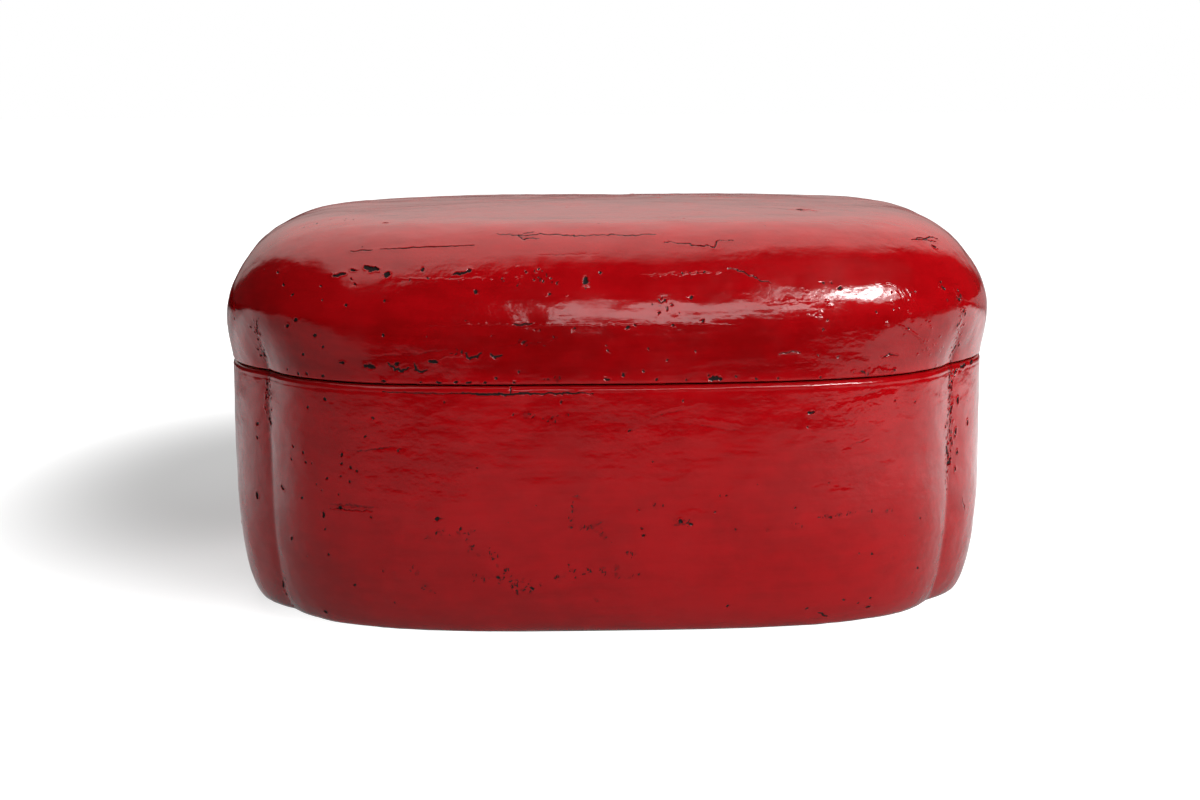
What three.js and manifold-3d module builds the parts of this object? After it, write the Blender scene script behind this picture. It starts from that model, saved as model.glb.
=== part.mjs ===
import * as THREE from 'three';
import { mergeVertices } from 'three/addons/utils/BufferGeometryUtils.js';
import Module from 'manifold-3d';

// A four-lobed lacquer box on a wood core, with a domed lid that lifts off.
// Millimetres, +Z up, the origin under the middle of the base, the front towards -Y.

const wasm = await Module();
wasm.setup();

// Plan: two long lobes and two end lobes, each a superellipse, meeting in four upright grooves
const halfWidth = 165;
const halfDepth = 111;
const endLobeStandOut = 13.2;
const longLobeStandOut = 16.9;
const longLobeSquareness = 3.3;
const endLobeSquareness = 3;

// Body: upright walls that curve in to the base
const bodyHeight = 105.4;
const baseCurveHeight = 53.5;
const baseTuckAtEnds = 9.6;
const baseTuckAtFront = 14.7;
const baseCurveSquareness = 1.9;
const rimRounding = 1.5;

// Lid: a flat-topped dome whose grooves fade out towards the top
const lidHeight = 62.8;
const lidTopInsetAtEnds = 59.3;
const lidTopInsetAtFront = 45.9;
const lidEndSquareness = 2.8;
const lidFrontSquareness = 2.45;
const lidHeightSquareness = 2.8;
const lidSwellAtEnds = 1.9;
const lidSwellShare = 0.7;
const grooveFadeShare = 0.53;
const longLobesMergeSooner = 0.33;
const crownHeight = 2.4;

// Layers of the walls, from the outside in
const coatThickness = 1.6;
const bodyWoodThickness = 7.5;
const lidWoodThickness = 5.5;
const lidBoardExtraThickness = 4.6;
const liningThickness = 1.2;
const layerGap = 0.3;

// Boards, lip and seams
const baseBoardThickness = 9;
const coatStart = 1;
const seamGap = 0.6;
const lipThickness = 3;
const lipStand = 9;
const lipHold = 28;
const lipClearance = 0.8;
const lidWallHeight = 20;

// Bamboo pins
const basePinRadius = 2;
const basePinLength = 22;
const pinInset = 0.4;
const lidPinRadius = 1.1;
const lidPinLength = 12;
const pinFit = 0.3;
const pinSides = 10;
const stepsBetweenPins = 4;

// Facets: steps along a lobe, and levels up the curves
const longLobeSteps = 16;
const endLobeSteps = 8;
const crownShares = [0.66, 0.33];

const halfPi = Math.PI / 2;
const longLobeHalfWidth = halfWidth - endLobeStandOut;
const endLobeHalfDepth = halfDepth - longLobeStandOut;

const superellipse = (angle, a, b, squareness) => {
  const across = (Math.abs(Math.cos(angle)) / a) ** squareness;
  const along = (Math.abs(Math.sin(angle)) / b) ** squareness;
  return (across + along) ** (-1 / squareness);
};

const mix = (from, to, share) => from + (to - from) * share;

const smoothShare = (value) => {
  const share = Math.min(Math.max(value, 0), 1);
  return share * share * (3 - 2 * share);
};

// A lobe's distance from the middle at an angle; merged goes from 0, four lobes, to 1, one smooth oval
const longLobeRadius = (angle, merged) => superellipse(
  angle, mix(longLobeHalfWidth, halfWidth, merged), halfDepth, longLobeSquareness);
const endLobeRadius = (angle, merged) => superellipse(
  angle, halfWidth,
  mix(halfDepth, endLobeHalfDepth, (1 - merged) * (1 - longLobesMergeSooner * merged)),
  mix(endLobeSquareness, longLobeSquareness, merged));
const outlineRadius = (angle, merged) => Math.max(longLobeRadius(angle, merged), endLobeRadius(angle, merged));

// The angle of the front right groove's line, where the two lobes are equally far out
const findGrooveAngle = (merged) => {
  let low = 0;
  let high = halfPi;
  for (let step = 0; step < 50; step += 1) {
    const middle = (low + high) / 2;
    if (longLobeRadius(middle, merged) < endLobeRadius(middle, merged)) low = middle;
    else high = middle;
  }
  return (low + high) / 2;
};

const grooveAngle = findGrooveAngle(0);

// Angles along one lobe; equal steps of the flattened angle keep the facets even on a long lobe
const flatten = (angle) => Math.atan2(Math.sin(angle) / halfDepth, Math.cos(angle) / halfWidth);
const unflatten = (angle) => Math.atan2(Math.sin(angle) * halfDepth, Math.cos(angle) * halfWidth);

const lobeAngles = (from, to, steps) => {
  const start = flatten(from);
  let sweep = flatten(to) - start;
  if (sweep < 0) sweep += 2 * Math.PI;
  const angles = [];
  for (let step = 0; step <= steps; step += 1) angles.push(unflatten(start + sweep * step / steps));
  return angles;
};

const lobes = {
  right: lobeAngles(-grooveAngle, grooveAngle, endLobeSteps),
  back: lobeAngles(grooveAngle, Math.PI - grooveAngle, longLobeSteps),
  left: lobeAngles(Math.PI - grooveAngle, Math.PI + grooveAngle, endLobeSteps),
  front: lobeAngles(Math.PI + grooveAngle, 2 * Math.PI - grooveAngle, longLobeSteps),
};
const allAngles = Object.values(lobes).flatMap((angles) => angles.slice(0, -1));

// The angle moved along with its lobe, as the grooves' lines move where the lobes merge
const mostMerged = 0.9;
const followGroove = (angle, merged) => {
  const from = flatten(grooveAngle);
  const to = flatten(findGrooveAngle(Math.min(merged, mostMerged)));
  const flat = flatten(angle);
  const share = Math.atan2(Math.abs(Math.sin(flat)), Math.abs(Math.cos(flat)));
  const moved = share < from
    ? share * to / from
    : halfPi - (halfPi - share) * (halfPi - to) / (halfPi - from);
  return unflatten(Math.atan2(
    Math.sign(Math.sin(flat)) * Math.sin(moved),
    Math.sign(Math.cos(flat)) * Math.cos(moved)));
};

// A point of the plan, drawn in by so much at the ends and at the front and back
const planPoint = (angleAtRim, merged, inEnds, inFront, z) => {
  const angle = merged > 0 ? followGroove(angleAtRim, merged) : angleAtRim;
  const radius = outlineRadius(angle, merged);
  return new THREE.Vector3(
    radius * Math.cos(angle) * (1 - inEnds / halfWidth),
    radius * Math.sin(angle) * (1 - inFront / halfDepth),
    z,
  );
};

// The body's surface, so deep under its outside, at a height
const bodyPoint = (angle, depth, z) => {
  const share = Math.min(Math.max(1 - z / baseCurveHeight, 0), 1);
  const tuck = 1 - (1 - share ** baseCurveSquareness) ** (1 / baseCurveSquareness);
  return planPoint(angle, 0, depth + baseTuckAtEnds * tuck, depth + baseTuckAtFront * tuck, z);
};

// The lid's surface, so deep under its outside; turn goes from 0 at its rim to a quarter turn on top
const lidBottom = bodyHeight + seamGap;
const lidPoint = (angle, layer, turn, crownShare = 1) => {
  const insetAtEnds = lidTopInsetAtEnds * (1 - Math.cos(turn) ** (2 / lidEndSquareness));
  const insetAtFront = lidTopInsetAtFront * (1 - Math.cos(turn) ** (2 / lidFrontSquareness));
  const rise = Math.sin(turn) ** (2 / lidHeightSquareness);
  const swell = Math.sin(Math.PI * Math.min(rise / lidSwellShare, 1));
  const point = planPoint(
    angle, smoothShare(rise / grooveFadeShare),
    layer.depth + insetAtEnds - lidSwellAtEnds * swell,
    layer.depth + insetAtFront,
    lidBottom + (lidHeight - layer.drop) * rise + crownHeight * (1 - crownShare ** 2),
  );
  point.x *= crownShare;
  point.y *= crownShare;
  return point;
};

// The turn at which the lid has risen to a height above its rim
const turnAt = (height) => Math.asin(Math.min(height / lidHeight, 1) ** (lidHeightSquareness / 2));

// A closed body from rows of points, each row one closed loop of the same count
const bodyFromRows = (rows, ends) => {
  const positions = [];
  const count = rows[0].length;
  const corner = (point) => positions.push(point.x, point.y, point.z);
  const triangle = (a, b, c) => {
    corner(a);
    corner(b);
    corner(c);
  };
  // Each quad's diagonal rises with the angle, on both faces of a wall, so that layers stay parallel
  const strip = (row, following) => {
    for (let i = 0; i < count; i += 1) {
      const next = (i + 1) % count;
      if (following[next].z >= row[i].z) {
        triangle(row[i], row[next], following[next]);
        triangle(row[i], following[next], following[i]);
      } else {
        triangle(row[i], row[next], following[i]);
        triangle(row[next], following[next], following[i]);
      }
    }
  };
  for (let row = 0; row + 1 < rows.length; row += 1) strip(rows[row], rows[row + 1]);
  if (ends === 'joined') strip(rows.at(-1), rows[0]);
  if (ends === 'fans') {
    const middle = (row) => row.reduce((sum, point) => sum.add(point), new THREE.Vector3())
      .divideScalar(count);
    const first = middle(rows[0]);
    const last = middle(rows.at(-1));
    for (let i = 0; i < count; i += 1) {
      const next = (i + 1) % count;
      triangle(first, rows[0][next], rows[0][i]);
      triangle(last, rows.at(-1)[i], rows.at(-1)[next]);
    }
  }
  if (ends === 'strips') {
    // The loop is a wall's section: up its outside, then down its inside
    for (const [row, facing] of [[rows[0], 1], [rows.at(-1), -1]]) {
      for (let i = 0; i + 1 < count / 2; i += 1) {
        const quad = [row[i], row[i + 1], row[count - 2 - i], row[count - 1 - i]];
        if (facing < 0) quad.reverse();
        triangle(quad[0], quad[2], quad[1]);
        triangle(quad[0], quad[3], quad[2]);
      }
    }
  }
  return outward(positions);
};

// The geometry of a closed triangle list, turned inside out if its volume is negative
const outward = (positions) => {
  let volume = 0;
  for (let i = 0; i < positions.length; i += 9) {
    const [ax, ay, az, bx, by, bz, cx, cy, cz] = positions.slice(i, i + 9);
    volume += ax * (by * cz - bz * cy) + ay * (bz * cx - bx * cz) + az * (bx * cy - by * cx);
  }
  if (volume < 0) {
    for (let i = 0; i < positions.length; i += 9) {
      const second = positions.slice(i + 3, i + 6);
      positions.splice(i + 3, 3, ...positions.slice(i + 6, i + 9));
      positions.splice(i + 6, 3, ...second);
    }
  }
  const geometry = new THREE.BufferGeometry();
  geometry.setAttribute('position', new THREE.Float32BufferAttribute(positions, 3));
  return geometry;
};

const toSolid = (geometry) => {
  const bare = geometry.clone();
  bare.deleteAttribute('normal');
  bare.deleteAttribute('uv');
  const merged = mergeVertices(bare, 1e-3);
  return new wasm.Manifold(new wasm.Mesh({
    numProp: 3,
    vertProperties: new Float32Array(merged.attributes.position.array),
    triVerts: new Uint32Array(merged.index.array),
  }));
};

const fromSolid = (solid) => {
  const mesh = solid.getMesh();
  const geometry = new THREE.BufferGeometry();
  geometry.setAttribute('position', new THREE.Float32BufferAttribute(mesh.vertProperties, 3));
  geometry.setIndex(new THREE.Uint32BufferAttribute(mesh.triVerts, 1));
  return geometry;
};

// A pin from a place along a direction, longer at both ends and thicker by a fit
const pinBody = ({ place, direction, radius, length }, fit = 0) => {
  const geometry = new THREE.CylinderGeometry(radius + fit, radius + fit, length + 2 * fit, pinSides);
  geometry.applyQuaternion(
    new THREE.Quaternion().setFromUnitVectors(new THREE.Vector3(0, 1, 0), direction));
  const middle = place.clone().addScaledVector(direction, length / 2);
  geometry.translate(middle.x, middle.y, middle.z);
  return geometry;
};

const drilled = (geometry, pins) => {
  let solid = toSolid(geometry);
  for (const pin of pins) solid = solid.subtract(toSolid(pinBody(pin, pinFit)));
  return fromSolid(solid);
};

// Depths of the layers under the outside
const woodStart = coatThickness + layerGap;
const bodyWoodEnd = woodStart + bodyWoodThickness;
const lidWoodEnd = woodStart + lidWoodThickness;
const lidLiningStart = lidWoodEnd + layerGap;
const lidLiningEnd = lidLiningStart + liningThickness;
const lipStart = Math.max(bodyWoodEnd + layerGap, lidLiningEnd + lipClearance);
const lipEnd = lipStart + lipThickness;

// Heights in the body
const floorBottom = baseBoardThickness + layerGap;
const floorTop = floorBottom + liningThickness;
const rimTop = bodyHeight;
const lipBottom = rimTop - lipHold;
const lipTop = rimTop + lipStand;

const bodyLevels = (from, to) => {
  const bends = [0.06, 0.14, 0.27, 0.45, 0.68, 1].map((share) => share * baseCurveHeight);
  return [from, ...bends.filter((z) => z > from + layerGap && z < to - layerGap), to];
};

const ring = (point) => allAngles.map(point);

// The base board sits between the walls, and its edge leans out with them
const makeBaseBoard = () => {
  const edge = bodyLevels(0, baseBoardThickness);
  const edgeDepth = bodyWoodEnd + layerGap;
  return bodyFromRows(edge.map((z) => ring((angle) => bodyPoint(angle, edgeDepth, z))), 'fans');
};

// Trim of a lobe's two ends, so that neighbouring pieces keep the gap between them
const trimmed = (angles) => {
  const trim = layerGap / 2 / outlineRadius(grooveAngle, 0);
  return angles.map((angle, i) => {
    if (i === 0) return angle + trim;
    if (i === angles.length - 1) return angle - trim;
    return angle;
  });
};

const wallFromSections = (angles, outside, inside) => bodyFromRows(
  trimmed(angles).map((angle) => [...outside(angle), ...inside(angle).reverse()]), 'strips');

const makeBodyWall = (angles) => {
  const levels = bodyLevels(0, rimTop - rimRounding);
  return wallFromSections(
    angles,
    (angle) => levels.map((z) => bodyPoint(angle, woodStart, z)),
    (angle) => levels.map((z) => bodyPoint(angle, bodyWoodEnd, z)),
  );
};

const makeLip = (angles) => {
  const levels = [lipBottom, lipTop];
  return wallFromSections(
    angles,
    (angle) => levels.map((z) => bodyPoint(angle, lipStart, z)),
    (angle) => levels.map((z) => bodyPoint(angle, lipEnd, z)),
  );
};

// The outer coat rolls over the top of the walls in a rounded rim
const makeBodyCoat = () => {
  const levels = bodyLevels(coatStart, rimTop - rimRounding);
  const outside = levels.map((z) => ring((angle) => bodyPoint(angle, 0, z)));
  const roll = [0.35, 0.7, 1].map((share) => {
    const turn = share * halfPi;
    const depth = rimRounding * (1 - Math.cos(turn));
    const z = rimTop - rimRounding * (1 - Math.sin(turn));
    return ring((angle) => bodyPoint(angle, depth, z));
  });
  const rimEdge = [
    ring((angle) => bodyPoint(angle, bodyWoodEnd, rimTop)),
    ring((angle) => bodyPoint(angle, bodyWoodEnd, rimTop - rimRounding + layerGap)),
    ring((angle) => bodyPoint(angle, coatThickness, rimTop - rimRounding + layerGap)),
  ];
  const inside = levels.slice(0, -1).reverse()
    .map((z) => ring((angle) => bodyPoint(angle, coatThickness, z)));
  return bodyFromRows([...outside, ...roll, ...rimEdge, ...inside], 'joined');
};

// The lining covers the floor and the walls, passes under the lip and covers its inner face
const makeBodyLining = () => {
  const low = bodyLevels(floorBottom, lipBottom - layerGap - liningThickness);
  const wallStart = bodyWoodEnd + layerGap;
  const wallEnd = wallStart + liningThickness;
  const overLipStart = lipEnd + layerGap;
  const overLipEnd = overLipStart + liningThickness;
  const lowInside = low.slice(1).reverse();
  const rows = [
    ...low.map((z) => [wallStart, z]),
    [wallStart, lipBottom - layerGap],
    [overLipStart, lipBottom - layerGap],
    [overLipStart, lipTop],
    [overLipEnd, lipTop],
    [overLipEnd, lipBottom - layerGap - liningThickness],
    ...lowInside.map((z) => [wallEnd, z]),
    [wallEnd, floorTop],
  ];
  return bodyFromRows(rows.map(([depth, z]) => ring((angle) => bodyPoint(angle, depth, z))), 'fans');
};

// Layers of the lid: how far in from the sides, and how far down from the top
const lidLayer = (depth, extra = 0) => ({ depth, drop: depth + extra });
const lidOutside = lidLayer(0);
const lidCoatInside = lidLayer(coatThickness);
const lidWoodOutside = lidLayer(woodStart);
const lidWoodInside = lidLayer(lidWoodEnd, lidBoardExtraThickness);
const lidLiningOutside = lidLayer(lidLiningStart, lidBoardExtraThickness);
const lidLiningInside = lidLayer(lidLiningEnd, lidBoardExtraThickness);

const seatTurn = turnAt(lidWallHeight);
const seatTrim = layerGap / lidHeight;
const lidBends = [0.25, 0.6].map((share) => share * seatTurn)
  .concat([0, 0.2, 0.4, 0.6, 0.78, 0.9].map((share) => mix(seatTurn, halfPi, share)));
const lidTurns = (from, to) => {
  const inBetween = lidBends.filter((turn) => turn > from + 2 * seatTrim && turn < to - 2 * seatTrim);
  return [from, ...inBetween, to];
};

const lidRow = (layer, turn, crownShare) => ring((angle) => lidPoint(angle, layer, turn, crownShare));
const domeRows = (layer, from) => [
  ...lidTurns(from, halfPi).map((turn) => lidRow(layer, turn)),
  ...crownShares.map((share) => lidRow(layer, halfPi, share)),
];

// A dome with a wall: its outside from the top down to the rim, then its inside back up
const makeDome = (outside, inside, from) => bodyFromRows(
  [...domeRows(outside, from).reverse(), ...domeRows(inside, from)], 'fans');

const makeLidCoat = () => makeDome(lidOutside, lidCoatInside, 0);
const makeLidLining = () => makeDome(lidLiningOutside, lidLiningInside, 0);
const makeLidTopBoard = () => makeDome(lidWoodOutside, lidWoodInside, seatTurn + seatTrim);

const makeLidWall = (angles) => {
  const turns = lidTurns(0, seatTurn - seatTrim);
  return wallFromSections(
    angles,
    (angle) => turns.map((turn) => lidPoint(angle, lidWoodOutside, turn)),
    (angle) => turns.map((turn) => lidPoint(angle, lidWoodInside, turn)),
  );
};

// A few pins along each lobe
const pinAngles = Object.values(lobes).flatMap((angles) => angles.slice(1, -1)
  .filter((angle, i) => (i + 1) % stepsBetweenPins === 0));

// Base pins go in level from the outside of the walls into the edge of the base board
const basePins = pinAngles.map((angle) => {
  const height = baseBoardThickness / 2;
  const place = bodyPoint(angle, woodStart + pinInset, height - basePinRadius - pinFit).setZ(height);
  const alongX = Math.abs(Math.tan(angle)) < 1 ? 1 : 0;
  const direction = new THREE.Vector3(
    -Math.sign(place.x) * alongX, -Math.sign(place.y) * (1 - alongX), 0).normalize();
  return { place, direction, radius: basePinRadius, length: basePinLength };
});

// Lid pins stand in the middle of the wood, half in the walls and half in the top board
const lidPins = pinAngles.map((angle) => {
  const outer = lidPoint(angle, lidWoodOutside, seatTurn);
  const inner = lidPoint(angle, lidWoodInside, seatTurn);
  const place = outer.clone().add(inner).divideScalar(2);
  place.z -= lidPinLength / 2;
  return { place, direction: new THREE.Vector3(0, 0, 1), radius: lidPinRadius, length: lidPinLength };
});

const finish = (color, roughness) => new THREE.MeshStandardMaterial({ color, roughness, metalness: 0 });
const redLacquer = () => finish(0x9c1518, 0.18);
const darkLacquer = () => finish(0x1d0d0b, 0.35);
const wood = () => finish(0xa98455, 0.75);
const bamboo = () => finish(0xd2b272, 0.6);

const piece = (name, geometry, material) => {
  const smooth = geometry.clone();
  smooth.computeVertexNormals();
  const mesh = new THREE.Mesh(smooth, material);
  mesh.name = name;
  return mesh;
};

const addPins = (group, name, pins) => pins.forEach((pin, i) => {
  group.add(piece(`${name}_${i + 1}`, pinBody(pin), bamboo()));
});

const body = new THREE.Group();
body.add(piece('base_board', drilled(makeBaseBoard(), basePins), wood()));
body.add(piece('body_lacquer_coat', makeBodyCoat(), redLacquer()));
body.add(piece('body_lining', makeBodyLining(), darkLacquer()));
addPins(body, 'base_pin', basePins);

const lid = new THREE.Group();
lid.add(piece('lid_top_board', drilled(makeLidTopBoard(), lidPins), wood()));
lid.add(piece('lid_lacquer_coat', makeLidCoat(), redLacquer()));
lid.add(piece('lid_lining', makeLidLining(), darkLacquer()));
addPins(lid, 'lid_pin', lidPins);

for (const [side, angles] of Object.entries(lobes)) {
  body.add(piece(`body_wall_${side}`, drilled(makeBodyWall(angles), basePins), wood()));
  body.add(piece(`lip_${side}`, makeLip(angles), darkLacquer()));
  lid.add(piece(`lid_wall_${side}`, drilled(makeLidWall(angles), lidPins), wood()));
}

const box = new THREE.Group();
box.add(body, lid);

export default box;
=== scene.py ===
"""A four-lobed red lacquer box with a lift-off domed lid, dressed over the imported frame.

Metres, +Z up, the front towards -Y. The lacquer coats are swept from the same rule as the frame's
plan and profile and waved a little, as a hand-built ground is. Then they get their chips, pits,
cracks and wrinkles, whose places are given in millimetres as they are seen from a side.
"""

import math
import random
from dataclasses import dataclass
from functools import partialmethod

import bmesh
import bpy
import numpy as np
from mathutils import Matrix, Vector
from mathutils.bvhtree import BVHTree
from mathutils.noise import noise as grain_at


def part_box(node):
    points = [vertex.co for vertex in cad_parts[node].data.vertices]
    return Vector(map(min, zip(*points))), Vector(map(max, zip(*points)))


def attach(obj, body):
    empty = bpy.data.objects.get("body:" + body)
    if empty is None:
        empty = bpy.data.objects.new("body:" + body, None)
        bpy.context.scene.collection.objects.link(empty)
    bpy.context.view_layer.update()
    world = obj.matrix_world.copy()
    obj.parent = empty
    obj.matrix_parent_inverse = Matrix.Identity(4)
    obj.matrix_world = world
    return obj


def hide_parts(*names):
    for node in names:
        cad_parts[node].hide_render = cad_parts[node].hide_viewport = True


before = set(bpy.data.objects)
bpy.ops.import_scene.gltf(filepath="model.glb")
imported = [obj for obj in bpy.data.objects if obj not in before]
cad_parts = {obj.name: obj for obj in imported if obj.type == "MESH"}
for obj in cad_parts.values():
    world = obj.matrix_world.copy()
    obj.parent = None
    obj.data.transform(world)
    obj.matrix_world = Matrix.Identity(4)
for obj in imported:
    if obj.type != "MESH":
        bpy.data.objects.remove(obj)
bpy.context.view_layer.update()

MM = 0.001

# The sizes of the plan and the profiles, which their geometry nodes take as inputs
PLAN = {
    "Half width": 165 * MM,
    "Half depth": 111 * MM,
    "End lobe stand-out": 13.2 * MM,
    "Long lobe stand-out": 16.9 * MM,
    "Long lobe squareness": 3.3,
    "End lobe squareness": 3.0,
    "Long lobes merge sooner": 0.33,
    "Groove rounding": 0.8 * MM,
    "Groove reach": 2.4 * MM,
    "Coat thickness": 1.6 * MM,
    "Waves sink": 0.45 * MM,
}
BODY = {
    "Base curve height": 53.5 * MM,
    "Base curve squareness": 1.9,
    "Base tuck at ends": 9.6 * MM,
    "Base tuck at front": 14.7 * MM,
}
LID = {
    "Lower edge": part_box("lid_lacquer_coat")[0].z,
    "Height": 62.8 * MM,
    "Height squareness": 2.8,
    "Top inset at ends": 59.3 * MM,
    "Top inset at front": 45.9 * MM,
    "End squareness": 2.8,
    "Front squareness": 2.45,
    "Swell at ends": 1.9 * MM,
    "Swell share": 0.7,
    "Groove fade share": 0.53,
    "Crown height": 2.4 * MM,
}
HALF_WIDTH, HALF_DEPTH = PLAN["Half width"], PLAN["Half depth"]
SWELL_SPAN = (0.79, 0.92)

# The rim and the lid's edge
COAT_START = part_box("body_lacquer_coat")[0].z
RIM_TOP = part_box("body_lacquer_coat")[1].z
RIM_ROUNDING = 2.1 * MM
RIM_BEAD = 2.9 * MM
RIM_CREASE_DEPTH = 0.09 * MM
RIM_CREASE_WIDTH = 0.6 * MM
LID_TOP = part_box("lid_lacquer_coat")[1].z
LID_EDGE_ROUNDING = 1.0 * MM

# Layers, from the outside in
COAT_THICKNESS = PLAN["Coat thickness"]
COAT_OVER_WOOD = 1.2 * MM
LAYER_GAP = 0.3 * MM
BODY_WOOD_END = 9.4 * MM
LID_WOOD_END = 7.4 * MM
LID_BOARD_EXTRA = 4.6 * MM
LINING_THICKNESS = 1.2 * MM
LIP_START = 9.7 * MM
LIP_THICKNESS = 3.0 * MM
LIP_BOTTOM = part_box("lip_front")[0].z
LIP_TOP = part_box("lip_front")[1].z
FLOOR_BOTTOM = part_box("body_lining")[0].z

# How far the hand-built ground waves, from its slow waves to its small ones
WAVE_DEPTHS = {"Slow wave": 1.6 * MM, "Middle wave": 0.8 * MM, "Small wave": 0.4 * MM}
WAVE_SCALES = {"Slow wave": 14.0, "Middle wave": 45.0, "Small wave": 115.0}

# Fineness of the swept skins, and of the lacquer round a flaw
STEPS_PER_LONG_LOBE = 156
STEPS_PER_END_LOBE = 90
BODY_ROWS = 72
LID_ROWS = 60
CROWN_ROWS = 12
INNER_ROWS = 5
FLAW_STEP = 0.4 * MM
FLAW_SOFTNESS = 0.26 * MM
REFINING_MARGINS = (1.5 * MM, 0.8 * MM, 0.45 * MM)

# The camera, from a fit to the photograph's outline
LENS = 60.83
CAMERA_DISTANCE = 0.9174
CAMERA_ELEVATION = 9.98
CAMERA_AZIMUTH = -1.295
CAMERA_ROLL = -0.357
AIM_HEIGHT = 0.080
SHIFT_X = -7.13 / 1200
SHIFT_Y = 0.62 / 1200

# Even light from all round, for what the lamps leave in shade
FILL = 0.08

# A painted shadow on the floor left of and behind the box: the floor glows less there, on top of
# the box's real shadow.
PAINTED_SHADOW_AT = (-0.19, 0.22)
PAINTED_SHADOW_REACH = (0.16, 0.28)
PAINTED_SHADOW_GLOW = 0.17


def add_node(tree, kind, values=None, **settings):
    """A new node: its settings are made first, then its sockets get their values or links."""
    node = tree.nodes.new(kind)
    for name, setting in settings.items():
        setattr(node, name, setting)
    for key, value in (values or {}).items():
        named = (socket for socket in node.inputs if socket.name == key and socket.enabled)
        feed(node.inputs[key] if isinstance(key, int) else next(named), value)
    return node


def feed(socket, value):
    """Gives a socket its value, or a link from a wire or from a node's first output."""
    if isinstance(value, bpy.types.Node):
        value = Wire(value.outputs[0])
    if isinstance(value, Wire):
        value.tree.links.new(value.socket, socket)
    else:
        socket.default_value = value


def wired(tree, kind, values=None, **settings):
    """The first output of a new node."""
    return Wire(add_node(tree, kind, values, **settings).outputs[0])


class Wire:
    """A node's output, used in Python expressions that add the Math nodes they need."""

    def __init__(self, socket):
        self.socket = socket
        self.tree = socket.id_data

    def maths(self, operation, *others):
        values = dict(enumerate((self, *others)))
        return wired(self.tree, "ShaderNodeMath", values, operation=operation)

    def reflected(self, operation, other):
        return wired(self.tree, "ShaderNodeMath", {0: other, 1: self}, operation=operation)

    __add__ = __radd__ = partialmethod(maths, "ADD")
    __sub__ = partialmethod(maths, "SUBTRACT")
    __rsub__ = partialmethod(reflected, "SUBTRACT")
    __mul__ = __rmul__ = partialmethod(maths, "MULTIPLY")
    __truediv__ = partialmethod(maths, "DIVIDE")
    __rtruediv__ = partialmethod(reflected, "DIVIDE")
    __pow__ = partialmethod(maths, "POWER")
    __abs__ = partialmethod(maths, "ABSOLUTE")
    least = partialmethod(maths, "MINIMUM")
    most = partialmethod(maths, "MAXIMUM")
    smooth_most = partialmethod(maths, "SMOOTH_MAX")
    cos = partialmethod(maths, "COSINE")
    sin = partialmethod(maths, "SINE")

    def between(self, low, high):
        """0 below low and 1 above high, with a smooth step from one to the other."""
        values = {0: self, 1: low, 2: high}
        return wired(self.tree, "ShaderNodeMapRange", values, interpolation_type="SMOOTHSTEP")


def noise(tree, place, scale, detail=2.0, roughness=0.5):
    values = {"Vector": place, "Scale": scale, "Detail": detail, "Roughness": roughness}
    return wired(tree, "ShaderNodeTexNoise", values)


def stretched(tree, place, x, y, z):
    values = {0: place, 1: (x, y, z)}
    return wired(tree, "ShaderNodeVectorMath", values, operation="MULTIPLY")


def blend_colors(tree, share, first, second):
    values = {0: share, 6: first, 7: second}
    return Wire(add_node(tree, "ShaderNodeMix", values, data_type="RGBA").outputs[2])


def parts_of(tree, place):
    node = add_node(tree, "ShaderNodeSeparateXYZ", {0: place})
    return [Wire(socket) for socket in node.outputs]


# Plan and profile


def superellipse(x, y, across, along, squareness, least=0.0):
    """How far a rounded oblong reaches in the direction of x and y."""
    x = (abs(x) / across) ** squareness
    y = (abs(y) / along) ** squareness
    return (x + y + least) ** (-1 / squareness)


def find_groove_angle():
    low, high = 0.0, math.pi / 2
    inner_width = HALF_WIDTH - PLAN["End lobe stand-out"]
    inner_depth = HALF_DEPTH - PLAN["Long lobe stand-out"]
    for _ in range(50):
        middle = (low + high) / 2
        x, y = math.cos(middle), math.sin(middle)
        long_lobe = superellipse(x, y, inner_width, HALF_DEPTH, PLAN["Long lobe squareness"])
        end_lobe = superellipse(x, y, HALF_WIDTH, inner_depth, PLAN["End lobe squareness"])
        if long_lobe < end_lobe:
            low = middle
        else:
            high = middle
    return (low + high) / 2


GROOVE_ANGLE = find_groove_angle()


def lobe_angles(start, end, steps):
    """Angles along a lobe, closer together towards its grooves."""
    flat_start = math.atan2(math.sin(start) / HALF_DEPTH, math.cos(start) / HALF_WIDTH)
    flat_end = math.atan2(math.sin(end) / HALF_DEPTH, math.cos(end) / HALF_WIDTH)
    sweep = (flat_end - flat_start) % (2 * math.pi)
    angles = []
    for step in range(steps):
        even = step / steps
        share = 0.35 * even + 0.65 * (1 - math.cos(math.pi * even)) / 2
        flat = flat_start + sweep * share
        angles.append(math.atan2(math.sin(flat) * HALF_DEPTH, math.cos(flat) * HALF_WIDTH))
    return angles


# Each lobe's first and last angle, and the steps of its outline
LOBES = {
    "right": (-GROOVE_ANGLE, GROOVE_ANGLE, STEPS_PER_END_LOBE),
    "back": (GROOVE_ANGLE, math.pi - GROOVE_ANGLE, STEPS_PER_LONG_LOBE),
    "left": (math.pi - GROOVE_ANGLE, math.pi + GROOVE_ANGLE, STEPS_PER_END_LOBE),
    "front": (math.pi + GROOVE_ANGLE, -GROOVE_ANGLE, STEPS_PER_LONG_LOBE),
}
ALL_ANGLES = [angle for lobe in LOBES.values() for angle in lobe_angles(*lobe)]

# The angle that runs down each groove at the rim, and how many angles a groove may drift from it
GROOVES = {
    "front right": 0,
    "back right": STEPS_PER_END_LOBE,
    "back left": STEPS_PER_END_LOBE + STEPS_PER_LONG_LOBE,
    "front left": 2 * STEPS_PER_END_LOBE + STEPS_PER_LONG_LOBE,
}
GROOVE_DRIFT = 20


def body_row(depth, z):
    """A level of the body, at a depth under its outside and at a height."""
    return (depth, 0.0, z, 1.0)


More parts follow.
